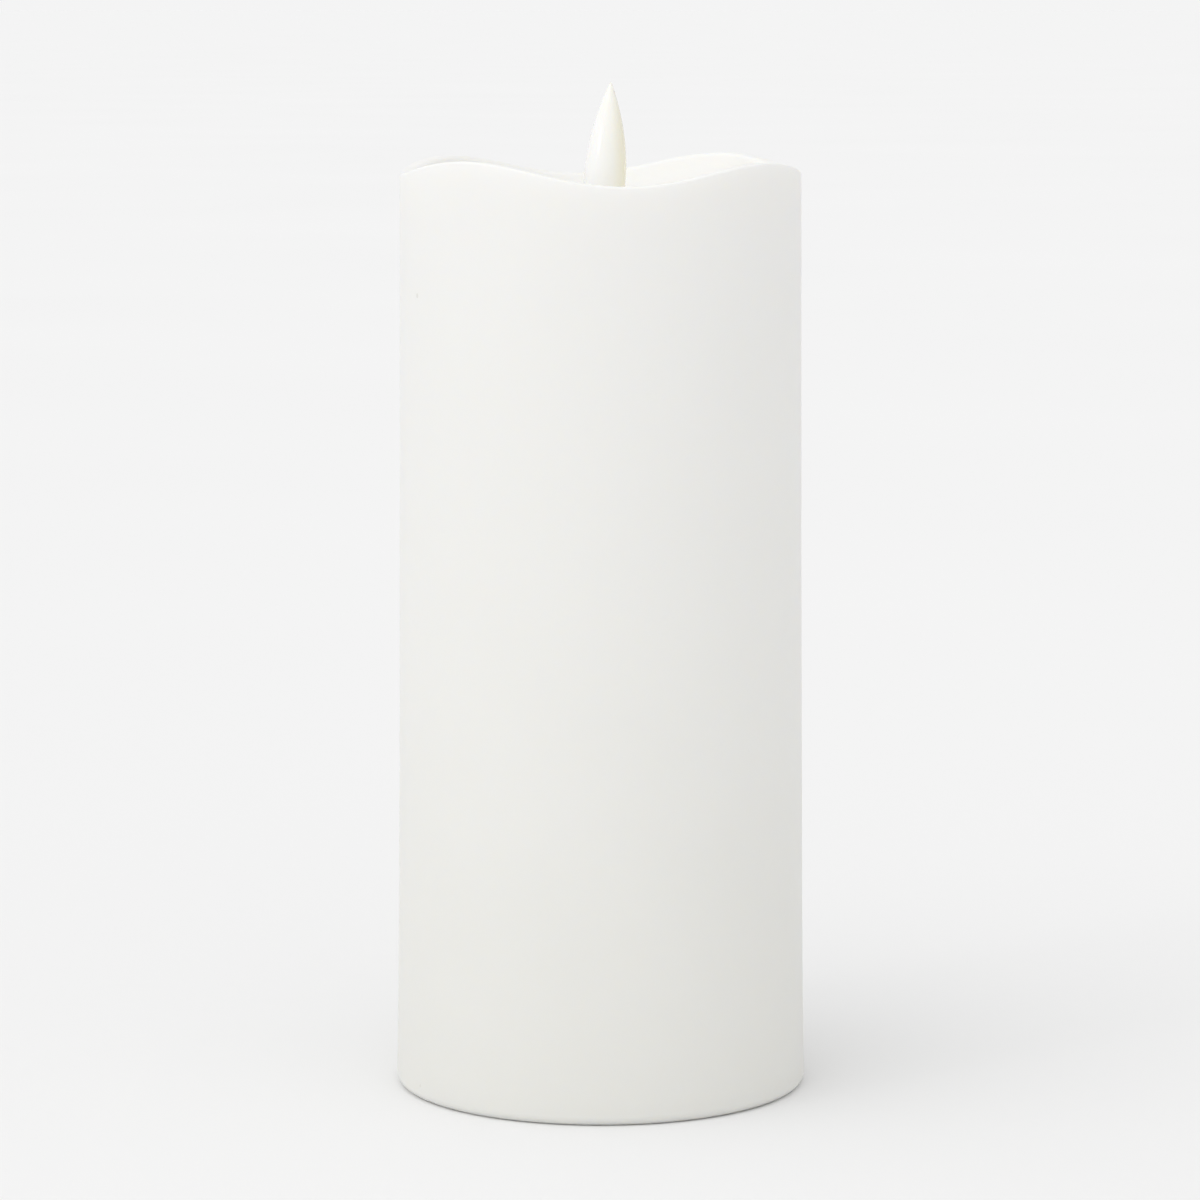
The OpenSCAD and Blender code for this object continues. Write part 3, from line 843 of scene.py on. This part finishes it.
IVORY = plastic("ivory_plastic", (0.85, 0.83, 0.76), 0.38)
CASE = plastic("case_plastic", (0.78, 0.765, 0.72), 0.5)
DARK = plastic("bobbin_plastic", (0.045, 0.045, 0.05), 0.5)
BLACK = plastic("black_plastic", (0.022, 0.022, 0.024), 0.5)
RED_WIRE = plastic("red_insulation", (0.42, 0.018, 0.012), 0.4, 2000.0, 0.05)
BLACK_WIRE = plastic("black_insulation", (0.02, 0.02, 0.02), 0.4, 2000.0, 0.05)
GREY_WIRE = plastic("grey_insulation", (0.32, 0.32, 0.33), 0.4, 2000.0, 0.05)
CAN = plastic("capacitor_sleeve", (0.018, 0.035, 0.13), 0.35, 2000.0, 0.05)
STEEL = metal("plated_steel", (0.62, 0.62, 0.63), 0.28)
NICKEL = metal("bright_nickel", (0.72, 0.69, 0.63), 0.2)
TINNED = metal("tinned_joint", (0.75, 0.75, 0.74), 0.25, (1.0, 1.0, 1.0))
BOARD = board_material()

claim(make_wax(), "base", wax_material(), "wax", "wax_shell")
claim(make_flame(), "flame", flame_material(), "flame_skin", "flame")

SOFTENED = [
    # node, edge width, body, material, slot
    ("collar", 0.18, "base", IVORY, "ivory_plastic"),
    ("flame_stem", 0.15, "flame", IVORY, "ivory_plastic"),
    ("flame_magnet", 0.15, "flame", NICKEL, "nickel"),
    ("capsule_front", 0.2, "base", CASE, "case_plastic"),
    ("capsule_rear", 0.2, "base", CASE, "case_plastic"),
    ("core_tube", 0.2, "base", CASE, "case_plastic"),
    ("battery_tub", 0.2, "base", CASE, "case_plastic"),
    ("base_cover", 0.16, "base", CASE, "case_plastic"),
    ("battery_door", 0.14, "door", CASE, "case_plastic"),
    ("switch_body", 0.12, "base", STEEL, "steel"),
    ("switch_knob", 0.12, "knob", BLACK, "black_plastic"),
    ("cover_screws", 0.08, "base", STEEL, "steel"),
    ("capsule_screws", 0.08, "base", STEEL, "steel"),
    ("door_pin", 0.1, "base", STEEL, "steel"),
    ("contact_plates", 0.08, "base", NICKEL, "nickel"),
    ("door_bridge", 0.08, "door", NICKEL, "nickel"),
    ("coil_bobbin", 0.15, "base", DARK, "bobbin_plastic"),
    ("resistors", 0.1, "base", BLACK, "black_plastic"),
]
for node, width, body, material, slot in SOFTENED:
    claim(softened(node, width), body, material, slot, node)

claim(make_pivot_wire(), "base", STEEL, "steel", "pivot_wire")
claim(make_led(), "base", lens_material(), "led_lens", "led")
claim(make_led_legs(), "base", TINNED, "nickel")
claim(make_winding(), "base", copper_material(), "copper", "coil_winding")
for board in ("drive_board", "main_board"):
    claim(softened(board, 0.06), "base", BOARD, "board", board)
claim(make_chips(), "base", BLACK, "black_plastic", "controller_chips")
claim(make_chip_legs(), "base", TINNED, "nickel")
claim(make_capacitor(), "base", CAN, "can", "capacitor")
claim(make_capacitor_top(), "base", TINNED, "nickel")
for node, nub_up in (("cell_left", True), ("cell_right", False)):
    jacket = jacket_material(*cell_ends(nub_up))
    claim(make_cell_jacket(node + "_film", nub_up), "base", jacket, "cell_jacket", node)
    claim(make_cell_ends(node + "_can", nub_up), "base", NICKEL, "nickel")
contact_coil = joined("contact_coil", [spring(CELL_X, ROOF_IN - PLATE_T, CONTACT_GAP, -1)])
claim(contact_coil, "base", NICKEL, "nickel", "contact_spring")
door_coil = joined("door_coil", [spring(-CELL_X, PLATE_Z, SPRING_H)])
claim(door_coil, "door", NICKEL, "nickel", "door_spring")
claim(make_leads("lead_red_wire", [cell_lead(-1)]), "base", RED_WIRE, "red_lead", "lead_red")
claim(make_leads("lead_black_wire", [cell_lead(1)]), "base", BLACK_WIRE, "black_lead", "lead_black")
risers = make_leads("riser_wires", [riser(x) for x in RISER_X])
claim(risers, "base", GREY_WIRE, "grey_lead", "riser_leads")
led_wires = make_leads("led_wires", [led_lead(a) for a in (-4, 4)], LED_LEAD_R)
claim(led_wires, "base", GREY_WIRE, "grey_lead", "led_leads")
claim(make_joints(), "base", TINNED, "nickel")


# ---------------------------------------------------------------- floor, light, camera
KEY_AZIMUTH = 42  # degrees from the front towards the left


def from_azimuth(azimuth):
    """Level direction of light that comes from this azimuth."""
    a = math.radians(azimuth)
    return Vector((math.sin(a), math.cos(a), 0.0))


def make_floor():
    """A pale floor that runs on to the horizon."""
    near, far = -2400, 400000
    corners = [(-far, near, 0), (far, near, 0), (far, far, 0), (-far, far, 0)]
    ob = mesh_object("floor", corners, [(0, 1, 2, 3)], smooth=False)
    give(ob, floor_material())


def make_world():
    """A bright tent: a little stronger overhead and towards the key light, even at the horizon."""
    world = bpy.data.worlds.new("studio_world")
    world.use_nodes = True
    m = Nodes(world.node_tree)
    level, high, side_light = 0.02, 0.10, 0.2
    direction = m.node("ShaderNodeTexCoord").outputs["Generated"]
    up = m.parts_of(direction)["Z"]
    tent = m.ramp(up, [(level, 0.905), (high, 0.91), (0.6, 0.94), (1.0, 1.0)])
    lit_side = tuple(-side_light * from_azimuth(KEY_AZIMUTH))
    side = m.node("ShaderNodeVectorMath", {0: direction, 1: lit_side}, operation="DOT_PRODUCT")
    extra = m.math("MULTIPLY", side.outputs["Value"], m.map_range(up, level, high))
    total = m.node("ShaderNodeMixRGB", {"Fac": 1.0, "Color1": tent, "Color2": extra}, blend_type="ADD")
    m.put(world.node_tree.nodes["Background"], "Color", total.outputs["Color"])
    m.put(world.node_tree.nodes["Background"], "Strength", 1.0)
    bpy.context.scene.world = world
    bpy.context.scene.view_settings.view_transform = "Standard"


def make_sun(name, azimuth, elevation, strength, spread):
    """A soft distant light; the azimuth is measured from the front towards the left."""
    lamp = bpy.data.lights.new(name, "SUN")
    lamp.energy = strength
    lamp.angle = math.radians(spread)
    ob = bpy.data.objects.new(name, lamp)
    bpy.context.collection.objects.link(ob)
    e = math.radians(elevation)
    away = from_azimuth(azimuth) * math.cos(e) - Vector((0, 0, math.sin(e)))
    ob.rotation_euler = away.to_track_quat("-Z", "Y").to_euler()


def make_camera():
    """The photographer's view: from a little above the rim, tipped slightly down."""
    cam = bpy.data.cameras.new("camera")
    cam.sensor_width = 36
    cam.lens = 134.8
    ob = bpy.data.objects.new("camera", cam)
    bpy.context.collection.objects.link(ob)
    ob.location = (-0.00011, -0.84644, 0.20416)
    ob.rotation_euler = (math.radians(90 - 7.5), 0, 0)
    bpy.context.scene.camera = ob


make_floor()
make_world()
make_sun("key", KEY_AZIMUTH, 60, 0.35, 50)
make_sun("strip", 51, 18, 0.115, 9)
make_camera()
